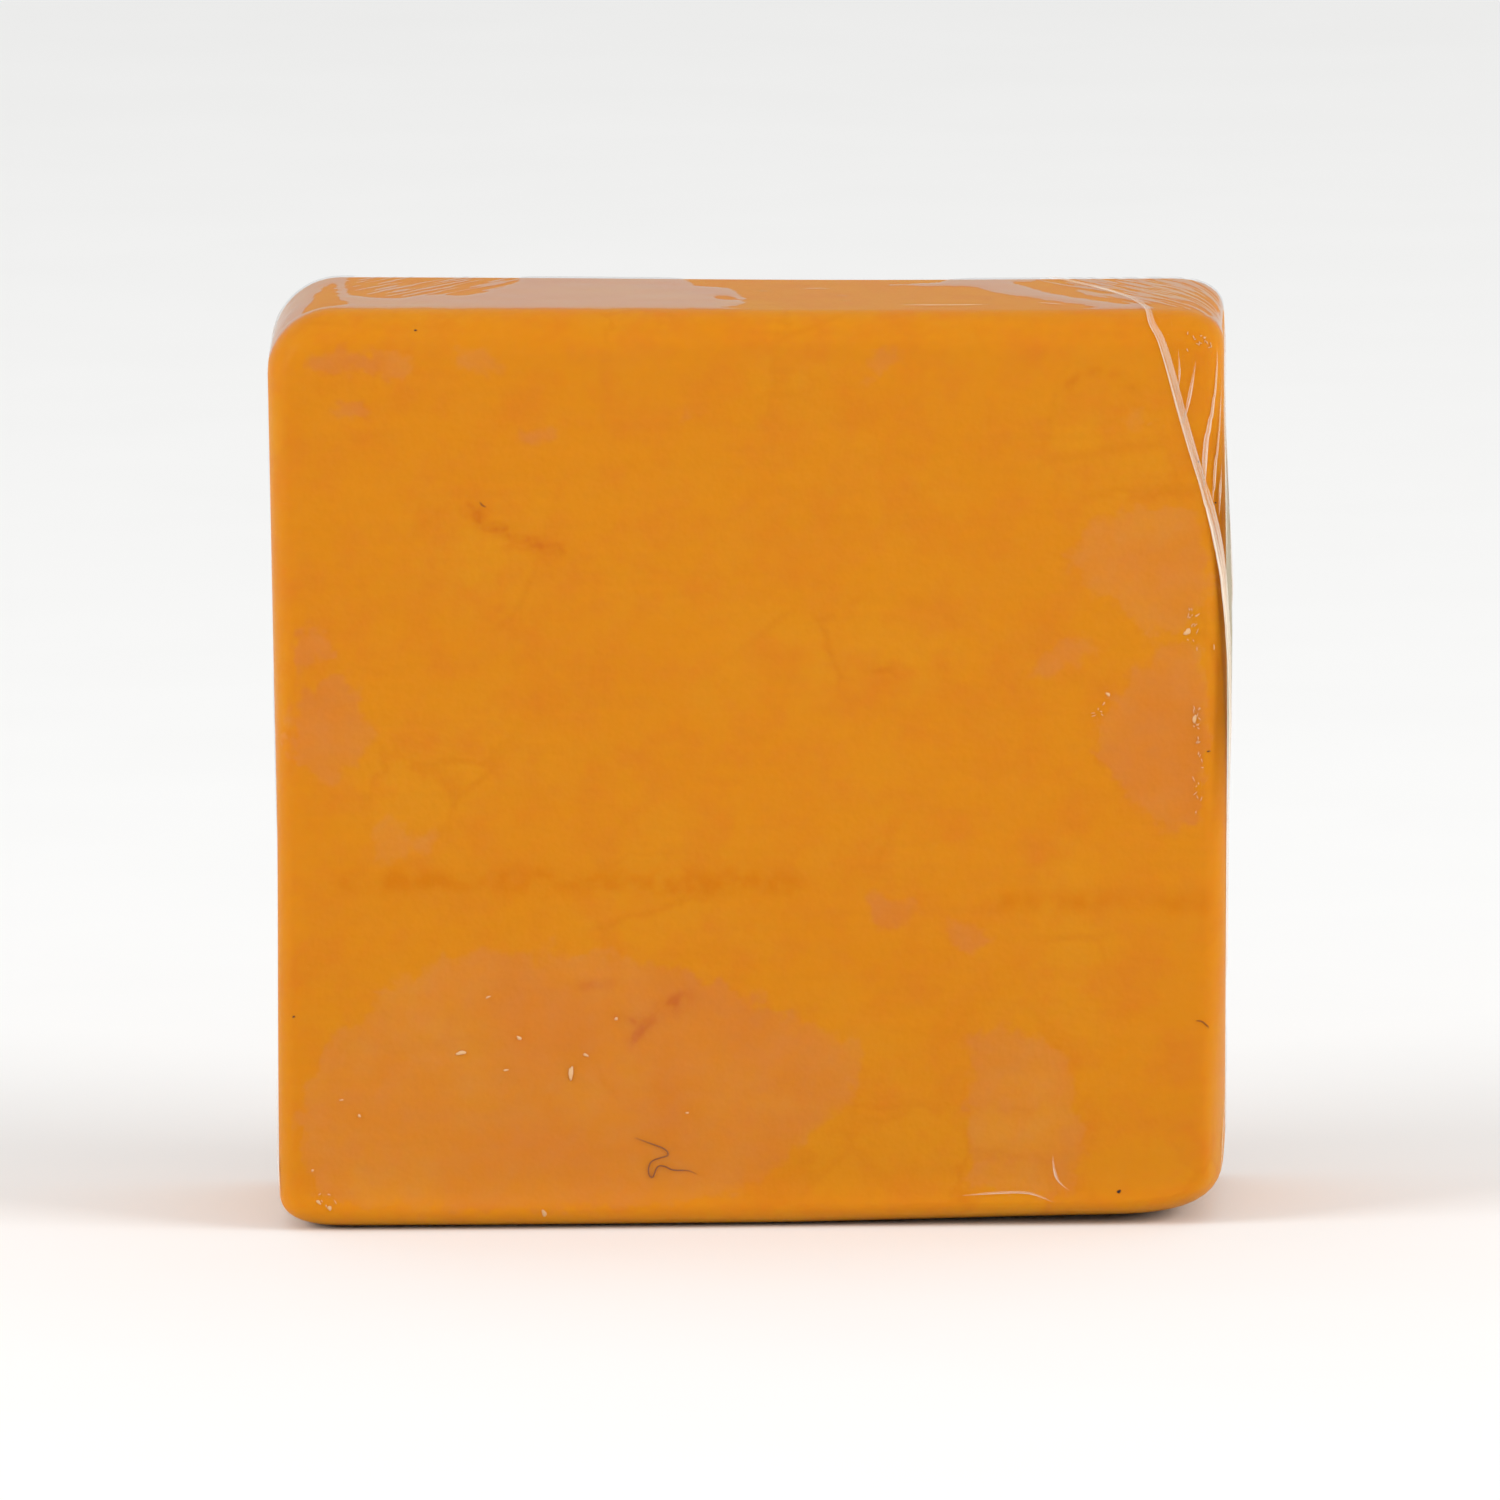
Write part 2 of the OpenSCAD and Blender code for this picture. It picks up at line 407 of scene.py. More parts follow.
backFree = ovals(21, [(-58, 140, 22, 14, 20, 0.2), (49, 42, 30, 19, -15, 0.22), (70, 150, 11, 9, 0, 0.2),
                      (-70, 38, 9, 16), (-12, 96, 7, 3.5, 15), (22, 164, 10, 3), (76, 96, 7, 11),
                      (-30, 22, 12, 6, 8)])
# the same on the two ends, from front to back and up
leftFree = ovals(31, [(5, 150, 15, 9, 30, 0.2), (-6, 88, 9, 17, 0, 0.2), (12, 30, 12, 10, 0, 0.2),
                      (18, 112, 5, 4)])
rightFree = [
    [(-27, 172), (-20, 172), (-14, 160), (-12, 145), (-15, 128), (-13, 112), (-17, 96), (-20, 80), (-25, 76),
     (-29, 90), (-28, 120), (-29, 150)],
]
rightFree += ovals(42, [(12, 60, 13, 20, -12, 0.2), (16, 140, 9, 12, 0, 0.2), (-10, 30, 8, 9)])
# the top is the other way about: free but for the places where the film clings, across and front to back
topClung = [
    [(-84.8, -17.4), (-84, -7.7), (-82.9, 4), (-81.3, 13.7), (-80.4, 15.6), (-79.4, 11.7), (-79, 0),
     (-79.4, -9.6), (-77.7, -15.4), (-76.3, -23.2), (-86.3, -25)],
    [(-77.7, 17.5), (-76.3, 29.2), (-67, 31), (-57.5, 31), (-46, 30), (-43, 31), (-45.6, 17.5), (-48.3, 7.8),
     (-52.3, -3.8), (-56.9, -6.7), (-60.2, -1.9), (-63, -4.8), (-66.2, -11), (-69, -11), (-73.8, -8.6),
     (-77, -5.7)],
    [(-17, 31), (-11.3, 25.3), (-11.2, 18.5), (-9.6, 12.3), (-5, 10.8), (-2.5, 6), (-2, -3.8), (0.2, -9.6),
     (-1.3, -13.5), (0.6, -17.4), (-2.5, -22), (-6.5, -27), (20, -29), (50, -29), (68.7, -27), (65.6, -21.3),
     (61.2, -15.4), (56.2, -9.6), (51.5, -3.8), (46.2, 5), (43.8, 13.7), (37.7, 13), (31.5, 14.6),
     (25.6, 15.5), (31.5, 17.5), (37.7, 19.5), (39, 25.3), (40.8, 27.2), (43.7, 30.2), (40, 32.5), (10, 32.5),
     (-14, 32.5)],
    [(-6.7, -4.8), (-4.4, -12.5), (-0.8, -11.6), (-2.9, -3.8)],
    [(51, 21.4), (56.2, 5), (61.2, -4.6), (65.6, -11), (71.3, -18.7), (74.4, -20.5), (73.7, -15.4),
     (71.9, -11), (66.2, -5.7), (62.5, 11.7), (58.7, 23.4), (54.6, 20.4)],
    [(76.5, -27), (80, -19.3), (82.9, -15.4), (86, -15.4), (89, -29)],
]
# where the film on the top clings in fine slanting streaks, and how far that reaches
streakArea = [
    [(50, 36), (64, 4), (74, -20), (78, -27), (92, -27), (94, 0), (94, 36)],
    [(-78, 8), (-76, 32), (-42, 33), (-46, 4), (-60, -8), (-74, -10)],
]

# darker orange smears in the cheese itself: a path across and up, how wide it is and how strong
smears = [
    ([(-53.3, 140.6), (-51.8, 139), (-51, 136.7), (-47.6, 136.3), (-43.7, 135.1), (-39.9, 132.7),
      (-35.1, 132.1)], 2.0, 0.7),
    ([(-32.8, 47.6), (-27, 48.2)], 1.6, 0.6),
    ([(-12.8, 45.5), (-17.5, 43.2), (-21.3, 39.4), (-22.9, 36.7)], 2.4, 1.0),
    ([(-12.6, 45.2), (-14.8, 43.9)], 3.0, 1.0), ([(-20, 41.6), (-23.5, 40.4), (-26, 41)], 1.6, 0.8),
    ([(61.3, 163), (64.2, 165.4), (69, 165.9), (73.8, 163)], 1.8, 0.5),
    ([(24.4, 108.6), (27.6, 108.9)], 1.4, 0.6),
]
# the line where two layers of curd were pressed together: its path across and up, and how wide and strong
pressLines = [
    ([(-77, 68.5), (-44, 68.3), (-10, 67), (0, 68), (8, 67)], 4.5, 0.8),
    ([(-60, 67.5), (-20, 66.5)], 2.5, 0.5),
    ([(-4, 69), (1, 67.5), (5, 69.5)], 3.0, 0.6),
    ([(48, 63.5), (70, 63), (86.5, 62.5)], 3.5, 0.7),
]
patch = {"reach": 6.0, "faceSoft": 0.33, "faceFrom": 0.3, "faceSlope": 15, "faceFade": 6, "topFront": -27.3,
         "slantRight": 27, "slantLeft": -28}


def onFace(normals, direction):
    # positive where the surface looks in a direction, rising with how squarely it does
    return (normals @ np.array(direction, float) - patch["faceFrom"]) * patch["faceSlope"]


def facing(normals, direction):
    # 1 where the surface looks in a direction, falling smoothly to 0 as it turns away
    return smoothStep(onFace(normals, direction) / patch["faceFade"])


def deepest(points, outlines):
    return np.max([depthInside(points, outline, patch["reach"]) for outline in outlines], 0)


# how far into a free patch each corner of the film lies, negative where it clings: the deepest patch on
# its own face, and on the top how far it is from the places where the film clings
def freeDepth(points, normals):
    depth = np.full(len(points), -patch["reach"])
    for outlines, axes, way in ((frontFree, (0, 2), (0, -1, 0)), (backFree, (0, 2), (0, 1, 0)),
                                (leftFree, (1, 2), (-1, 0, 0)), (rightFree, (1, 2), (1, 0, 0))):
        within = deepest(points[:, axes], outlines) * patch["faceSoft"]
        depth = np.maximum(depth, np.minimum(within, onFace(normals, way)))
    top = np.minimum(points[:, 1] - patch["topFront"], -deepest(points[:, :2], topClung))
    return np.maximum(depth, np.minimum(top, onFace(normals, (0, 0, 1))))


# 1 where the film stands free and 0 where it clings, with the same torn edge in the cheese and in the film:
# the patch's depth in millimetres, worried by two noises and, on the top, by streaks that slant to the back
edge = {"coarse": 4.5, "coarseBy": 2.4, "fine": 1.1, "fineBy": 1.0, "soft": 0.3,
        "streakWide": 1.3, "streakLong": 17, "streakBy": 22, "streakBias": 0.7, "streakKeeps": 0.2}


def freeShare(tree, coords):
    depth = addNode(tree, "Attribute", {"attribute_name": "free"})
    area = addNode(tree, "Attribute", {"attribute_name": "streaky"})
    coarse = addNode(tree, "TexNoise", {"Scale": 1 / (edge["coarse"] * mm), "Detail": 1}, {"Vector": coords})
    fine = addNode(tree, "TexNoise", {"Scale": 1 / (edge["fine"] * mm), "Detail": 0}, {"Vector": coords})
    slant = [addNode(tree, "Attribute", {"attribute_name": name}) for name in ("slantAcross", "slantAlong")]
    slanted = addNode(tree, "CombineXYZ", links={0: slant[0].outputs["Fac"], 1: slant[1].outputs["Fac"]})
    drawn = addNode(tree, "Mapping",
                    {"vector_type": "TEXTURE", "Scale": (edge["streakWide"], edge["streakLong"], 1)},
                    {"Vector": slanted})
    streak = addNode(tree, "TexNoise", {"Scale": 1, "Detail": 1}, {"Vector": drawn})
    moved = addNode(tree, "Math", {"operation": "MULTIPLY_ADD", 1: edge["coarseBy"]},
                    {0: coarse, 2: depth.outputs["Fac"]})
    worried = addNode(tree, "Math", {"operation": "MULTIPLY_ADD", 1: edge["fineBy"]}, {0: fine, 2: moved})
    centred = addNode(tree, "Math", {"operation": "SUBTRACT", 1: (edge["coarseBy"] + edge["fineBy"]) / 2},
                      {0: worried})
    swing = addNode(tree, "Math", {"operation": "MULTIPLY_ADD", 1: edge["streakBy"],
                                   2: -edge["streakBy"] / 2 - edge["streakBias"]}, {0: streak})
    kept = addNode(tree, "Math", {"operation": "MULTIPLY_ADD", 1: edge["streakKeeps"] - 1, 2: 1.0},
                   {0: area.outputs["Fac"]})
    held = addNode(tree, "Math", {"operation": "MULTIPLY"}, {0: centred, 1: kept})
    streaked = addNode(tree, "Math", {"operation": "MULTIPLY_ADD"},
                       {0: swing, 1: area.outputs["Fac"], 2: held})
    return addNode(tree, "MapRange", {"interpolation_type": "SMOOTHSTEP", "From Min": -edge["soft"],
                                      "From Max": edge["soft"]}, {"Value": streaked})


# annatto-coloured cheddar, pressed curd cut with a wire: waxy and a little translucent, so light goes in,
# softens the edges and comes out warmer. Under clinging film it looks wet and yellower, under free film
# drier. Each pattern is a blotch size, its detail and roughness, and the ranges it goes from and to
cheese = {
    "wet": "#CE8013", "dry": "#C97514", "dryPattern": (26, 1, 0.5, (0.38, 0.6), (0.3, 1.1)),
    "pale": "#CE8818", "palePattern": (34, 1, 0.5, (0.45, 0.75), (0, 0.6)),
    "cloud": "#CC7818", "cloudPattern": (11, 4, 0.68, (0.45, 0.72), (0, 1)),
    "knit": "#C5720F", "knitSize": 19, "knitWide": 0.06, "knitBend": (0.014, -0.01, 0.012),
    "knitBreaks": (0.5, 0.7), "knitShare": 0.5,
    "press": "#C57005", "smear": "#BB5F0D", "featherPattern": (3.2, 2, 0.65, (0.38, 0.6), (0.1, 1)),
    "grainPattern": (1.6, 1, 0.5, (0, 1), (0.965, 1.035)), "grainDeep": 0.3, "dragLong": 45, "dragHigh": 1.6,
    # footTone over footHigh is painted shade: the lower 85 mm goes darker towards the bottom
    "dragLow": 0.965, "footTone": 0.97, "footHigh": 85, "soleTone": 1.2, "soleHigh": 12,
    "glowShare": 0.35, "glow": (1.0, 0.45, 0.15), "glowDepth": 5.0, "roughness": 0.45, "specular": 0.05,
}
cheddar, tree = newMaterial("pressedCheddar")
coords = addNode(tree, "TexCoord").outputs["Object"]
_, drying = blotches(tree, coords, *cheese["dryPattern"])
dryShare = addNode(tree, "Math", {"operation": "MULTIPLY", "use_clamp": True},
                   {0: freeShare(tree, coords), 1: drying})
ground = addNode(tree, "Mix", {"data_type": "RGBA", 6: linear(cheese["wet"]), 7: linear(cheese["dry"])},
                 {0: dryShare})
# slow pale areas, browner clouds the size of curds, and thin broken lines where the curds knit together
paleNoise, paleMask = blotches(tree, coords, *cheese["palePattern"])
cloudNoise, cloudMask = blotches(tree, coords, *cheese["cloudPattern"])
bent = addNode(tree, "VectorMath", {"operation": "MULTIPLY_ADD", 1: cheese["knitBend"]},
               {0: cloudNoise, 2: coords})
cells = addNode(tree, "TexVoronoi", {"feature": "DISTANCE_TO_EDGE", "Scale": 1 / (cheese["knitSize"] * mm)},
                {"Vector": bent})
knitLine = addNode(tree, "MapRange", {"interpolation_type": "SMOOTHSTEP", "From Max": cheese["knitWide"],
                                      "To Min": 1.0, "To Max": 0.0}, {"Value": cells})
breakFrom, breakTo = cheese["knitBreaks"]
knitBreaks = addNode(tree, "MapRange", {"From Min": breakFrom, "From Max": breakTo,
                                        "To Max": cheese["knitShare"]}, {"Value": paleNoise})
# the press line and the smears, feathered by a finer noise
_, feather = blotches(tree, coords, *cheese["featherPattern"])
press, smear = [addNode(tree, "Attribute", {"attribute_name": name}).outputs["Fac"]
                for name in ("press", "smear")]
masks = {"pale": paleMask, "cloud": cloudMask}
for name, amount, broken in (("knit", knitLine, knitBreaks), ("press", press, feather),
                             ("smear", smear, feather)):
    masks[name] = addNode(tree, "Math", {"operation": "MULTIPLY"}, {0: amount, 1: broken})
painted = ground.outputs[2]
for name, mask in masks.items():
    painted = addNode(tree, "Mix", {"data_type": "RGBA", 7: linear(cheese[name])},
                      {0: mask, 6: painted}).outputs[2]
# fine grain and the wire's drag marks, long and level, then painted shade that darkens the lower part a
# little, as light from above would, and painted light that makes the lowest part paler again, against the
# shade by the board
grain, grainTone = blotches(tree, coords, *cheese["grainPattern"])
dragSize = (cheese["dragLong"] * mm, cheese["dragLong"] * mm, cheese["dragHigh"] * mm)
dragged = addNode(tree, "Mapping", {"vector_type": "TEXTURE", "Scale": dragSize}, {"Vector": coords})
drag = addNode(tree, "TexNoise", {"Scale": 1, "Detail": 2, "Roughness": 0.65}, {"Vector": dragged})
dragTone = addNode(tree, "MapRange", {"To Min": cheese["dragLow"], "To Max": 2 - cheese["dragLow"]},
                   {"Value": drag})
height = addNode(tree, "SeparateXYZ", links={0: coords}).outputs["Z"]
# the second factor is painted light: the lowest 12 mm goes up to 1.2 times paler, against the shade where the
# block meets the board
foot, sole = [
    addNode(tree, "MapRange", {"interpolation_type": "SMOOTHSTEP", "To Min": cheese[part + "Tone"],
                               "From Max": cheese[part + "High"] * mm}, {"Value": height})
    for part in ("foot", "sole")]
toneWithPaintedLight = grainTone
for factor in (dragTone, foot, sole):
    toneWithPaintedLight = addNode(tree, "Math", {"operation": "MULTIPLY"}, {0: toneWithPaintedLight, 1: factor})
colour = addNode(tree, "VectorMath", {"operation": "SCALE"}, {0: painted, "Scale": toneWithPaintedLight})
relief = addNode(tree, "Bump", {"Strength": 0.25, "Distance": cheese["grainDeep"] * mm}, {"Height": grain})
waxy = addNode(tree, "BsdfPrincipled",
               {"Roughness": cheese["roughness"], "Specular IOR Level": cheese["specular"],
                "Subsurface Weight": cheese["glowShare"], "Subsurface Radius": cheese["glow"],
                "Subsurface Scale": cheese["glowDepth"] * mm}, {"Base Color": colour, "Normal": relief})
addNode(tree, "OutputMaterial", links={"Surface": waxy})

# shrink film, blown polyethylene some 0.06 mm thick: colourless and glossy. Where it clings, the cheese's own
# grain prints through and dulls it; where it stands free, both of its faces mirror and it has a slight haze.
# Each pair of values is for clinging and for free film
film = {
    "ior": 1.33, "hazeColour": "#F4F0EA", "foldTint": "#E2DBCC",
    "gloss": (0.03, 0.8), "rough": (0.3, 0.07), "haze": (0.001, 0.004), "print": (0.35, 0.04),
    "breathPattern": (4.0, 2, 0.6, (0.38, 0.68), (0.1, 3.0)),
    "grain": 1.8, "grainDeep": 0.25, "ripple": 9.0, "rippleDeep": 0.4, "rippleShare": 0.3,
}
shrinkFilm, tree = newMaterial("clearShrinkFilm")
coords = addNode(tree, "TexCoord").outputs["Object"]
share = freeShare(tree, coords)
gloss, rough, hazeShare, printed = [
    addNode(tree, "MapRange", {"To Min": film[name][0], "To Max": film[name][1]}, {"Value": share})
    for name in ("gloss", "rough", "haze", "print")]
grain = addNode(tree, "TexNoise", {"Scale": 1 / (film["grain"] * mm), "Detail": 0}, {"Vector": coords})
ripple = addNode(tree, "TexNoise", {"Scale": 1 / (film["ripple"] * mm), "Detail": 0}, {"Vector": coords})
grainBump = addNode(tree, "Bump", {"Distance": film["grainDeep"] * mm},
                    {"Strength": printed, "Height": grain})
rippleBump = addNode(tree, "Bump", {"Strength": film["rippleShare"], "Distance": film["rippleDeep"] * mm},
                     {"Height": ripple, "Normal": grainBump})
bounce = addNode(tree, "Fresnel", {"IOR": film["ior"]}, {"Normal": rippleBump})
mirrored = addNode(tree, "Math", {"operation": "MULTIPLY", "use_clamp": True}, {0: bounce, 1: gloss})
side = addNode(tree, "NewGeometry")
outside = addNode(tree, "Math", {"operation": "SUBTRACT", 0: 1.0}, {1: side.outputs["Backfacing"]})
outer = addNode(tree, "Math", {"operation": "MULTIPLY"}, {0: mirrored, 1: outside})
folds = addNode(tree, "Attribute", {"attribute_name": "folded"})
tint = addNode(tree, "Mix", {"data_type": "RGBA", 6: linear("#FFFFFF"), 7: linear(film["foldTint"])},
               {0: folds.outputs["Fac"]})
clear = addNode(tree, "BsdfTransparent", links={"Color": tint.outputs[2]})
milky = addNode(tree, "BsdfDiffuse", {"Color": linear(film["hazeColour"])})
_, breath = blotches(tree, coords, *film["breathPattern"])
hazeHere = addNode(tree, "Math", {"operation": "MULTIPLY"}, {0: hazeShare, 1: breath})
hazed = addNode(tree, "MixShader", links={0: hazeHere, 1: clear, 2: milky})
shine = addNode(tree, "BsdfAnisotropic", links={"Roughness": rough, "Normal": rippleBump})
skin = addNode(tree, "MixShader", links={0: outer, 1: hazed, 2: shine})
addNode(tree, "OutputMaterial", links={"Surface": skin})

# the same film gathered and pressed flat in pleats: several layers scatter more, so it goes milky, in fine
# threads that run along each pleat
crease = {"thread": 0.34, "threadLong": 22, "colour": "#FFF0DC", "low": 0.3, "high": 1.5, "roughness": 0.25}
gatheredFilm, tree = newMaterial("gatheredShrinkFilm")
along = addNode(tree, "Attribute", {"attribute_name": "along"})
across = addNode(tree, "Attribute", {"attribute_name": "across"})
strength = addNode(tree, "Attribute", {"attribute_name": "milky"})
strip = addNode(tree, "CombineXYZ", links={0: along.outputs["Fac"], 1: across.outputs["Fac"]})
threadSize = (crease["threadLong"], crease["thread"], 1)
drawn = addNode(tree, "Mapping", {"vector_type": "TEXTURE", "Scale": threadSize}, {"Vector": strip})
threads = addNode(tree, "TexNoise", {"Scale": 1, "Detail": 3, "Roughness": 0.6}, {"Vector": drawn})
bright = addNode(tree, "MapRange", {"From Min": 0.36, "From Max": 0.66, "To Min": crease["low"],
                                    "To Max": crease["high"]}, {"Value": threads})
cover = addNode(tree, "Math", {"operation": "MULTIPLY", "use_clamp": True},
                {0: bright, 1: strength.outputs["Fac"]})
clear = addNode(tree, "BsdfTransparent")
layered = addNode(tree, "BsdfPrincipled",
                  {"Base Color": linear(crease["colour"]), "Roughness": crease["roughness"], "IOR": 1.5})
pleated = addNode(tree, "MixShader", links={0: cover, 1: clear, 2: layered})
addNode(tree, "OutputMaterial", links={"Surface": pleated})

# three matt ones: specks of milk protein that dried white and chalky on the cut face, and brown lint and
# almost black grit shut in under the film. Two colours, the size of their blotches and the roughness
mattKinds = {"driedMilkSpeck": ("#DAB083", "#D8A264", 0.6, 0.6),
             "trappedLint": ("#8A4C14", "#6E3A0E", 1.5, 0.7),
             "darkGrit": ("#2A1A10", "#120C08", 1.5, 0.7)}
mattMaterials = []
for name, (lighter, darker, size, roughness) in mattKinds.items():
    material, tree = newMaterial(name)
    coords = addNode(tree, "TexCoord").outputs["Object"]
    speckle = addNode(tree, "TexNoise", {"Scale": 1 / (size * mm), "Detail": 2}, {"Vector": coords})
    shade = addNode(tree, "Mix", {"data_type": "RGBA", 6: linear(lighter), 7: linear(darker)}, {0: speckle})
    matt = addNode(tree, "BsdfPrincipled", {"Roughness": roughness}, {"Base Color": shade.outputs[2]})
    addNode(tree, "OutputMaterial", links={"Surface": matt})
    mattMaterials.append(material)
driedMilk, lint, grit = mattMaterials
print("materials made: " + ", ".join(m.name for m in bpy.data.materials))


# the film lies on the CAD solid's surface, drawn in a little where it clings, and the cheese just under it;
# steps are faces across, up and deep, round half a corner and round an edge
layers = {"steps": (150, 144, 50, 7, 8), "clungIn": 0.08, "freeOut": 0.04, "lip": 2.0, "cheeseIn": 0.3,
          "foldRise": 1.6, "streakSoft": 2.5}
surface, quads = blockSurface(*layers["steps"], block["foldOut"])
inner, _ = blockSurface(*layers["steps"], 0)  # the cheese doesn't follow the film's fold
normals, innerNormals = cornerNormals(surface, quads), cornerNormals(inner, quads)
free = freeDepth(surface, normals)
streaky = np.clip(deepest(surface[:, :2], streakArea) / layers["streakSoft"], 0, 1)
streaky *= facing(normals, (0, 0, 1))
slant = np.radians(np.where(surface[:, 0] > 0, patch["slantRight"], patch["slantLeft"]))
slantAcross = surface[:, 0] * np.cos(slant) + surface[:, 1] * np.sin(slant)
slantAlong = surface[:, 1] * np.cos(slant) - surface[:, 0] * np.sin(slant)
folded = np.clip((surface - inner)[:, 0] / block["foldOut"] * layers["foldRise"], 0, 1)
folded *= facing(normals, (1, 0, 0))
filmSurface = surface + normals * (layers["freeOut"] - (layers["freeOut"] + layers["clungIn"])
                                   * (1 - smoothStep(free / layers["lip"])))[:, None]
clearFilm = newPiece("clearFilm", filmSurface, quads, shrinkFilm)
giveAttributes(clearFilm.data, {"folded": folded})
cheeseBlock = newPiece("cheeseBlock", inner - innerNormals * layers["cheeseIn"], quads, cheddar)
for piece in (clearFilm, cheeseBlock):
    giveAttributes(piece.data, {"free": free, "streaky": streaky, "slantAcross": slantAcross,
                                "slantAlong": slantAlong})
for name, strokes in (("smear", smears), ("press", pressLines)):
    amount = np.max([strength * nearPath(surface[:, [0, 2]], path, width)
                     for path, width, strength in strokes], 0)
    giveAttributes(cheeseBlock.data, {name: amount * facing(normals, (0, -1, 0))})
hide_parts("sealed_block")
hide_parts("sealed_block")
print("cheese and film made")


# the nearest place on the film to each point, and its normal: on the tangent plane of the nearest corner,
# looked for within a margin in millimetres and a lot of points at a time
search = {"margin": 4, "pairs": 4000000}


def onFilm(points):
    flat = points.reshape(-1, 3)
    low, high = flat.min(0) - search["margin"], flat.max(0) + search["margin"]
    keep = np.all((filmSurface > low) & (filmSurface < high), 1)
    corners, ways = filmSurface[keep], normals[keep]
    lots = np.array_split(flat, max(1, len(flat) * len(corners) // search["pairs"]))
    nearest = np.concatenate([((lot[:, None] - corners) ** 2).sum(-1).argmin(1) for lot in lots])
    way = ways[nearest]
    foot = flat - way * ((flat - corners[nearest]) * way).sum(1, keepdims=True)
    return foot.reshape(points.shape), way.reshape(points.shape)


# a closed skin over a row of rings, with a point at the middle of each end ring, turned to face outwards
def skinOver(rings):
    rows, count = rings.shape[:2]
    index = np.arange(rows * count).reshape(rows, count)
    ahead = np.roll(index, -1, 1)
    start, end = np.full(count, rows * count), np.full(count, rows * count + 1)
    faces = np.concatenate([ringTriangles(index), np.stack([start, index[0], ahead[0]], -1),
                            np.stack([end, ahead[-1], index[-1]], -1)])
    points = np.concatenate([rings.reshape(-1, 3), rings[:1].mean(1), rings[-1:].mean(1)])
    p, q, r = (points[faces[:, k]] for k in range(3))
    if (p * np.cross(q, r)).sum() < 0:
        faces = faces[:, ::-1]
    return points, faces


def evenly(path, step):
    # the softened path's points, an even step apart
    line = softened(path, closed=False)
    length = np.concatenate([[0], np.cumsum(np.linalg.norm(np.diff(line, axis=0), axis=1))])
    at = np.linspace(0, length[-1], max(6, int(length[-1] / step) + 1))
    return np.stack([np.interp(at, length, line[:, k]) for k in range(line.shape[1])], -1), at


def joined(parts):
    # several (points, faces, attributes) as one
    starts = np.cumsum([0] + [len(p[0]) for p in parts[:-1]])
    return (np.concatenate([p[0] for p in parts]), np.concatenate([p[1] + s for p, s in zip(parts, starts)]),
            {k: np.concatenate([p[2][k] for p in parts]) for k in parts[0][2]})


# a flat pleat along a path on the film: across it, u from -1 to 1, the top follows 1 - u^2 above the film and
# the under side keeps just off it; the width follows its own list along the path and shrinks at both ends.
# rims is how milky it is at each place across the top
pleatShape = {"step": 0.8, "across": 9, "offFilm": 0.03, "underOff": 0.01, "taper": 5.0, "thinnest": 0.01,
              "endMilk": 0.25, "rims": np.array([0.95, 0.8, 0.5, 0.42, 0.38, 0.38, 0.42, 0.46, 0.42])}


def pleat(path, widths, height, milky):
    line, at = evenly(path, pleatShape["step"])
    foot, way = onFilm(line)
    ahead = np.gradient(foot, axis=0)
    sideways = np.cross(way, ahead)
    sideways /= np.linalg.norm(sideways, axis=1, keepdims=True)
    t = at / at[-1]
    fromEnd = np.minimum(at, at[-1] - at) / pleatShape["taper"]
    narrowed = np.sqrt(np.clip(fromEnd, pleatShape["thinnest"], 1))
    half = np.interp(t, np.linspace(0, 1, len(widths)), widths) / 2 * narrowed
    u = np.linspace(-1, 1, pleatShape["across"])
    spread, up = onFilm(foot[:, None] + sideways[:, None] * (u[None, :, None] * half[:, None, None]))
    arch = height * (1 - u ** 2)[None, :, None] * narrowed[:, None, None]
    top = spread + up * (pleatShape["offFilm"] + arch)
    under = (spread + up * pleatShape["underOff"])[:, 1:-1][:, ::-1]
    rings = np.concatenate([top, under], 1)
    points, faces = skinOver(rings)
    above = np.concatenate([np.arange(len(u)), np.arange(len(u) - 2, 0, -1)])  # each point's place across
    cloudy = np.interp(t, np.linspace(0, 1, np.size(milky)), np.atleast_1d(milky))
    cloudy *= pleatShape["endMilk"] + (1 - pleatShape["endMilk"]) * narrowed ** 2
    rims = pleatShape["rims"][above] * cloudy[:, None]
    return points, faces, {"along": np.append(np.repeat(at, rings.shape[1]), [at[0], at[-1]]),
                           "across": np.append(u[above] * half[:, None], [0, 0]),
                           "milky": np.append(rims, [0, 0])}


# the big pleat where spare film was folded flat: from the back of the top, over the front edge near the right
# end, down the face to the edge of the end, and on down that edge
mainPleat = {
    "path": [(58, 30, 178), (61, 24, 178), (65, 16, 178), (70, 4, 178), (72.7, -4, 178), (75, -13, 178),
             (76.2, -21, 178), (77.1, -29, 177), (77.6, -34, 175.5), (79.2, -35, 172.5), (81, -35, 166.5),
             (83, -35, 158.6), (85.2, -35, 150.7), (87.5, -35, 143), (89.8, -35, 134.8), (91.6, -34, 127),
             (92.4, -33, 119), (92.6, -31, 108), (92.6, -29, 95), (92.4, -28, 78), (92.2, -27, 60),
             (92, -25, 45)],
    "widths": [0.6, 0.8, 1.0, 1.2, 1.3, 1.2, 1.6, 1.7, 1.5, 2.4, 2.4, 2.6, 2.2, 1.8, 1.6, 1.2, 0.8],
    "height": 0.25,
    "milky": [0.3, 0.4, 0.6, 0.5, 0.45, 0.4, 0.42, 0.48, 0.6, 0.75, 0.85, 0.9, 0.9, 0.8, 0.7, 0.6, 0.5],
}
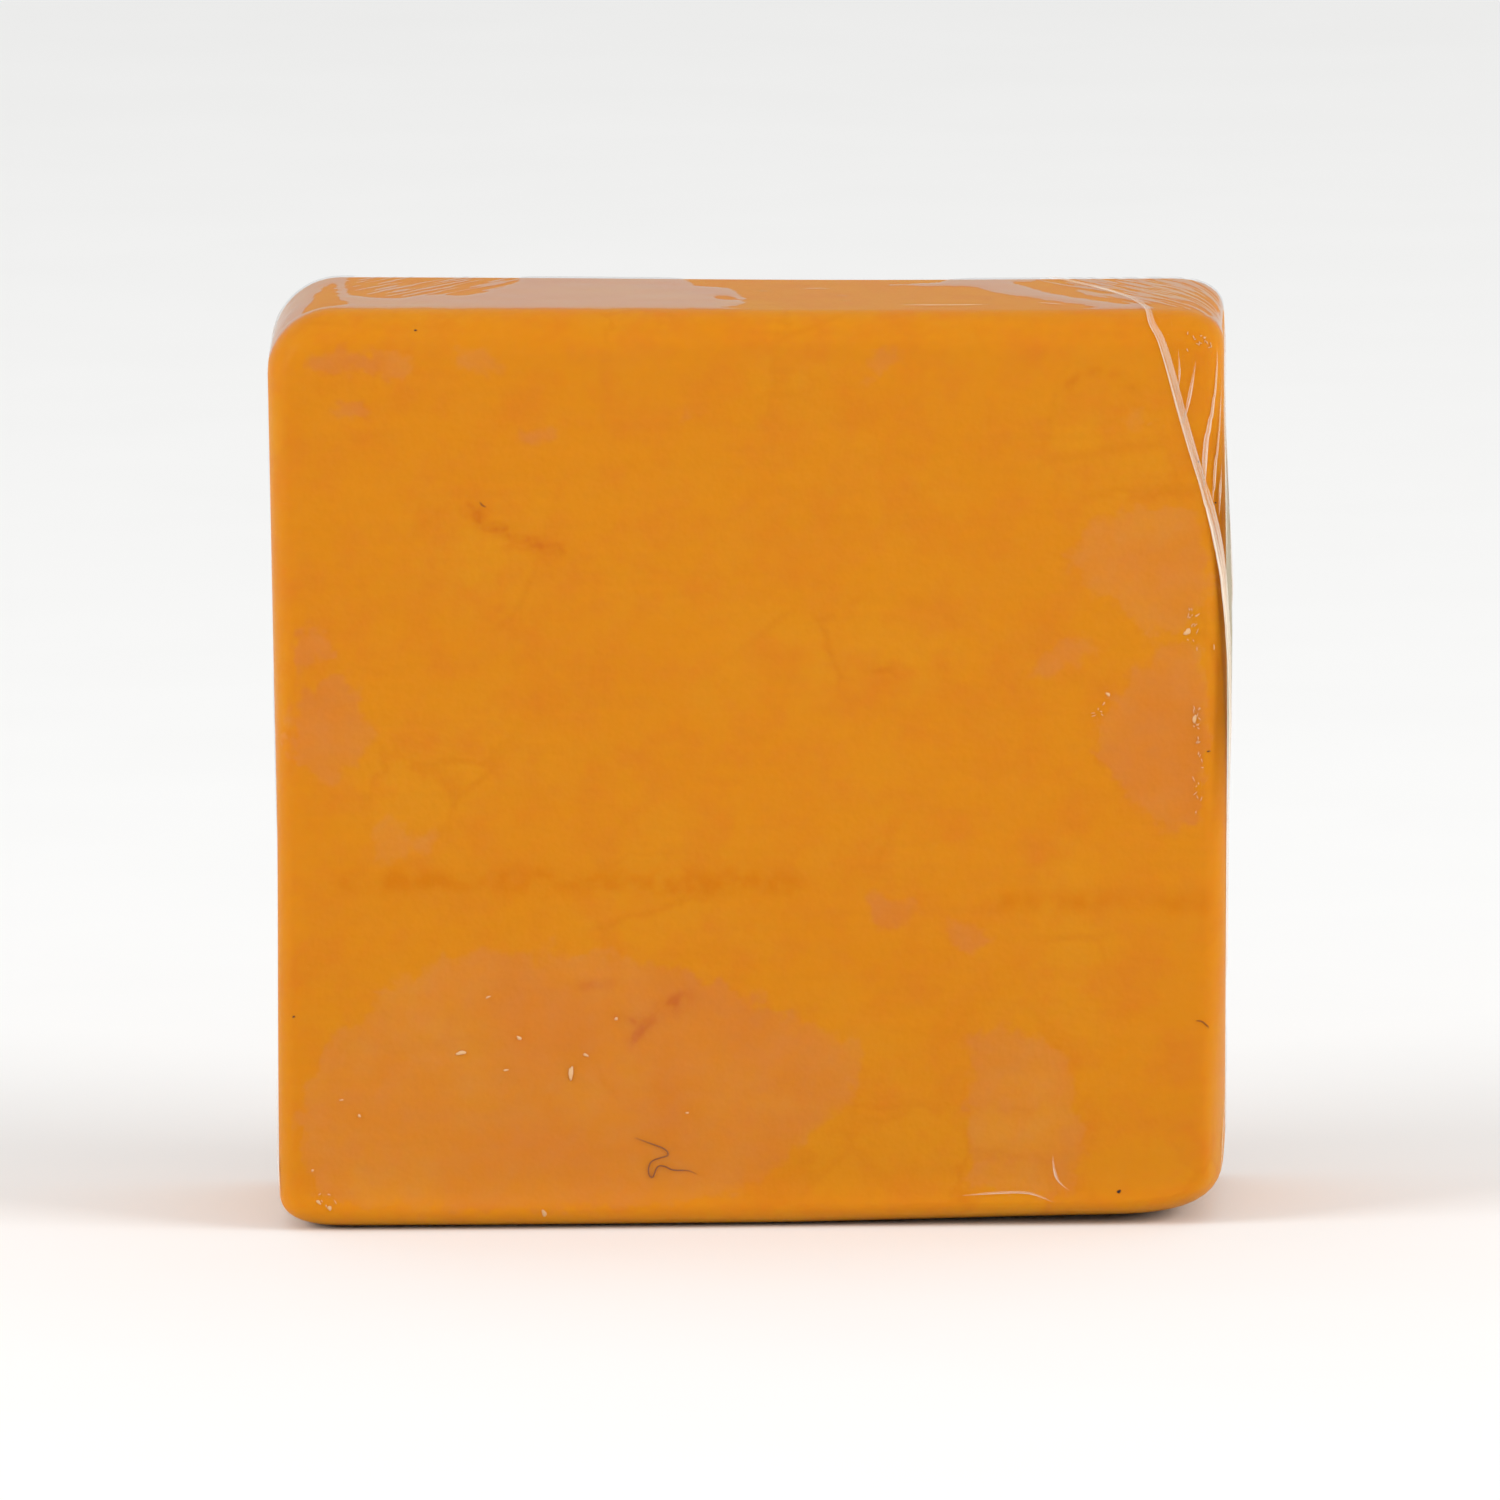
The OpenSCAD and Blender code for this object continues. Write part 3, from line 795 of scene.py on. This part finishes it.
# smaller pleats: path, widths, height and how milky
smallPleats = [
    ([(83.2, -35, 155), (84.6, -35, 160), (86, -34, 168)], [0.5, 0.7, 0.4], 0.1, 0.4),
    ([(82.2, -35, 161), (82.9, -35, 165), (82.6, -35, 170)], [0.4, 0.5, 0.3], 0.08, 0.4),
    ([(87.4, -35, 143.5), (87.6, -35, 151), (88.7, -34, 158), (89.6, -33, 166), (89.8, -33, 170)],
     [1.1, 1.0, 0.6, 0.4], 0.15, 0.55),
    ([(88.8, -34.5, 140), (89, -34, 147), (90.2, -33, 155), (91, -32, 163)], [0.6, 0.7, 0.5, 0.4], 0.1, 0.45),
    ([(89.9, -34, 137.5), (90.2, -33.5, 143), (91, -33, 148)], [0.7, 0.8, 0.4], 0.1, 0.5),
    ([(91.3, -32, 128), (91.6, -32, 138), (91.8, -31, 150), (91.6, -31, 160)], [0.6, 0.7, 0.4], 0.1, 0.5),
    ([(92.6, -30, 119), (92.8, -25, 126), (93, -18, 140), (93, -12, 158), (92, -8, 172)],
     [0.5, 1.4, 1.6, 1.0, 0.5], 0.2, 0.7),
    ([(92.6, -28, 100), (92.8, -20, 90), (92.8, -10, 78), (92.6, 4, 70)], [0.5, 1.1, 0.9, 0.5], 0.15, 0.5),
    # short lines in the film on the top, and an angle where it was pinched low on the front
    ([(56, -16, 178), (58.5, -18, 178), (61.5, -20, 178)], [0.5, 0.9, 0.5], 0.06, 0.7),
    ([(29, -20.5, 178), (38, -21, 178), (47, -20, 178)], [0.4, 0.6, 0.4], 0.06, 0.6),
    ([(2, 4, 178), (3.4, 4.6, 178), (4.8, 4.4, 178)], [0.8, 1.4, 0.8], 0.05, 0.5),
    ([(10.4, 9, 178), (13.4, 9.6, 178), (16.6, 9, 178)], [0.8, 1.4, 0.8], 0.05, 0.5),
    ([(17, -3.8, 178), (18.4, -4.2, 178), (19.8, -3.8, 178)], [0.8, 1.2, 0.8], 0.05, 0.5),
    ([(17.8, -12.5, 178), (19, -13, 178), (20.2, -12.5, 178)], [0.8, 1.0, 0.8], 0.05, 0.5),
    ([(40, -35, 6.3), (46, -35, 6.8), (52.5, -35, 7), (55.5, -35, 6), (58, -35, 4.8)],
     [0.3, 0.5, 0.4], 0.08, 0.4),
    ([(57.7, -35, 14.3), (57.9, -35, 11.5), (58.6, -35, 9), (60.9, -35, 7.2)], [0.4, 0.6, 0.4], 0.08, 0.55),
]
# and on the sides where nothing in particular shows: face, start across and up, turn, length, bend and width
sidePleats = [
    ("back", -88, 172, -50, 52, 2, 2.6), ("back", -85, 173, -36, 24, -1, 1.3),
    ("back", -88, 169, -64, 30, 1, 1.2), ("back", 87, 6, 128, 34, 2, 2.2), ("back", 84, 5, 146, 20, -1, 1.2),
    ("back", 88, 171, -122, 26, 1, 1.6), ("back", -34, 176, -24, 30, 1, 1.0),
    ("back", -88, 8, 40, 22, 1, 1.4), ("left", 30, 173, -112, 38, 2, 2.2),
    ("left", 31, 168, -98, 20, -1, 1.1), ("left", -31, 6, 76, 26, -1, 1.4), ("left", 30, 6, 118, 22, 1, 1.3),
    ("right", 31, 6, 106, 44, 2, 2.2), ("right", 29, 5, 122, 20, 1, 1.1),
    ("right", 31, 170, -104, 30, -2, 1.6), ("right", -26, 8, 70, 24, 1, 1.0),
]
sideShape = {"widths": np.array([0.8, 1, 0.6, 0.3, 0.15]), "height": 0.15,
             "milky": [0.55, 0.5, 0.4, 0.3, 0.2]}
endX = {"left": -92.3, "right": 92.3}


# a pleat's path on a side: a straight run in a direction, bent by half a sine wave
def sidePath(face, across, up, turn, length, bend):
    t = np.linspace(0, 1, 6)
    c, s = cosSin(turn)
    along, off = length * t, bend * np.sin(np.pi * t)
    u, v = across + along * c - off * s, up + along * s + off * c
    if face == "back":
        return np.stack([u, np.full_like(t, block["depth"] / 2), v], -1)
    return np.stack([np.full_like(t, endX[face]), u, v], -1)


parts = [pleat(*mainPleat.values())]
parts += [pleat(*small) for small in smallPleats]
parts += [pleat(sidePath(*run), width * sideShape["widths"], sideShape["height"], sideShape["milky"])
          for *run, width in sidePleats]
points, faces, given = joined(parts)
filmPleat = newPiece("filmPleat", points, faces, gatheredFilm)
giveAttributes(filmPleat.data, given)
print("pleats made")

# a curled hair and shorter fibres shut in under the film, across and up, and how thick they are
fibres = [
    ([(-22.6, 18), (-19.4, 16.8), (-16.7, 15.8), (-16.1, 14.5), (-17.9, 14.1), (-19.6, 13.5), (-20.2, 12.2),
      (-20, 10.4), (-19.2, 10.2), (-18.9, 11.4), (-18.3, 12.6), (-16.9, 12.5), (-15.6, 11.6), (-12.5, 11.7),
      (-10.8, 10.8)], 0.22),
    ([(85.4, 40), (86.6, 39.9), (87.6, 39.1), (88.4, 38.5)], 0.2),
    ([(-51.4, 141.5), (-51, 140.8), (-50.3, 140.6)], 0.2),
]
# flat grains on the cheese: across and up, half width and half height, and the turn
whiteGrains = [
    (-56, 34.8, 0.9, 0.45, 5), (-44.8, 37.6, 0.6, 0.3, -20), (-34.9, 30.7, 0.4, 1.6, 0),
    (-32, 34.2, 0.5, 0.3, -40), (-79.1, 25.8, 0.45, 0.12, 0), (-75.7, 22.7, 0.25, 0.35, 0),
    (-40.3, 3.2, 0.5, 0.8, 8), (84.1, 115.4, 0.7, 0.6, 30), (-50.7, 45.6, 0.6, 0.15, 25),
    (-26.1, 41.2, 0.4, 0.25, 0), (-47.4, 31.4, 0.5, 0.2, 0), (-83.7, 5.9, 0.6, 0.3, -30),
    (-81.6, 4.7, 0.4, 0.5, -30), (-12.6, 22.8, 0.3, 0.2, 0), (-84.8, 12.1, 0.3, 0.2, 0),
    (86, 118.6, 0.5, 0.15, 40), (85.4, 98.5, 0.35, 0.9, 0), (68.8, 103.4, 0.3, 0.5, 30),
    (89.3, 112.4, 0.15, 0.5, 0), (88.2, 173, 0.3, 0.2, 0),
]
darkGrains = [
    (70.4, 6.9, 0.36, 0.36, 0), (86.4, 148.3, 0.2, 0.16, 0), (90, 140.3, 0.2, 0.16, 0),
    (88.1, 92.2, 0.4, 0.12, 0), (-88.3, 42, 0.3, 0.15, 40), (-63.5, 175.6, 0.35, 0.15, 0),
]
# rows of fine white scuffs: from and to, across and up, how many, and how far they stray
scuffs = [
    ((85.8, 101), (85.9, 80), 26, 0.5), ((85.2, 121), (85.6, 112), 12, 0.7),
    ((84.8, 172.4), (89.6, 171), 14, 0.9), ((-83.5, 7), (-81, 4.8), 5, 0.7),
    ((68.5, 104.5), (66.5, 98), 6, 0.6),
]
lying = {"under": 0.15, "grainHigh": 0.12, "around": 10, "rings": 5, "pole": 0.12, "waves": (0.22, 0.16),
         "scuffLong": 0.5, "scuffWide": 0.09, "scuffTurn": 40,
         "step": 0.35, "threadAround": 8, "tip": 0.35, "tipSlope": 6}


# a round thread along a path: a circle square to the path at each step, thinning to nothing at both ends
def thread(path, thick):
    flat, at = evenly(path, lying["step"])
    foot, way = onFilm(np.insert(flat, 1, -block["depth"] / 2, axis=1))
    centre = foot - way * lying["under"]
    ahead = np.gradient(centre, axis=0)
    sideways = np.cross(way, ahead)
    sideways /= np.linalg.norm(sideways, axis=1, keepdims=True)
    angle = np.linspace(0, 2 * np.pi, lying["threadAround"], endpoint=False)[None, :, None]
    t = at / at[-1]
    full = np.clip(np.minimum(t, 1 - t) * lying["tipSlope"], 0, 1)
    radius = thick / 2 * (lying["tip"] + (1 - lying["tip"]) * full)[:, None, None]
    rings = centre[:, None] + radius * (np.cos(angle) * sideways[:, None] + np.sin(angle) * way[:, None])
    points, faces = skinOver(rings)
    return points, faces, {}


# a flat grain: rings of an oval whose radius waves with two sines, from its top down to its under side by
# the quarter circles of a squashed ball
def grainAt(across, up, halfWide, halfHigh, turn, waves):
    foot, way = onFilm(np.array([[across, -block["depth"] / 2, up]]))
    level = np.cross([0, 0, 1.0], way[0])
    level /= np.linalg.norm(level)
    upright = np.cross(way[0], level)
    angle = np.linspace(0, 2 * np.pi, lying["around"], endpoint=False)[None]
    tilt = np.linspace(lying["pole"], np.pi - lying["pole"], lying["rings"])[:, None]
    two, three = lying["waves"]
    radius = np.sin(tilt) * (1 + two * np.sin(2 * angle + waves[0]) + three * np.sin(3 * angle + waves[1]))
    c, s = cosSin(turn)
    wide, high = halfWide * radius * np.cos(angle), halfHigh * radius * np.sin(angle)
    out = (lying["grainHigh"] * np.cos(tilt) + 0 * angle)[..., None] * way[0]
    rings = (foot[0] - way[0] * lying["under"] + out + (wide * c - high * s)[..., None] * level
             + (wide * s + high * c)[..., None] * upright)
    points, faces = skinOver(rings)
    return points, faces, {}


lay = np.random.default_rng(11)


def wavePhases():
    return lay.uniform(0, 6.3, 2)


white = [grainAt(*grain, wavePhases()) for grain in whiteGrains]
for start, end, count, stray in scuffs:
    for t in lay.uniform(0, 1, count):
        place = np.array(start) * (1 - t) + np.array(end) * t + lay.normal(0, stray, 2)
        size = lay.uniform(0.4, 1) * lying["scuffLong"]
        white.append(grainAt(*place, lying["scuffWide"], size, lay.normal(0, lying["scuffTurn"]),
                             wavePhases()))
points, faces, _ = joined(white)
newPiece("milkSpecks", points, faces, driedMilk)
points, faces, _ = joined([thread(*fibre) for fibre in fibres])
newPiece("trappedFibres", points, faces, lint)
points, faces, _ = joined([grainAt(*grain, wavePhases()) for grain in darkGrains])
newPiece("darkSpecks", points, faces, grit)
print("fibres and specks made")
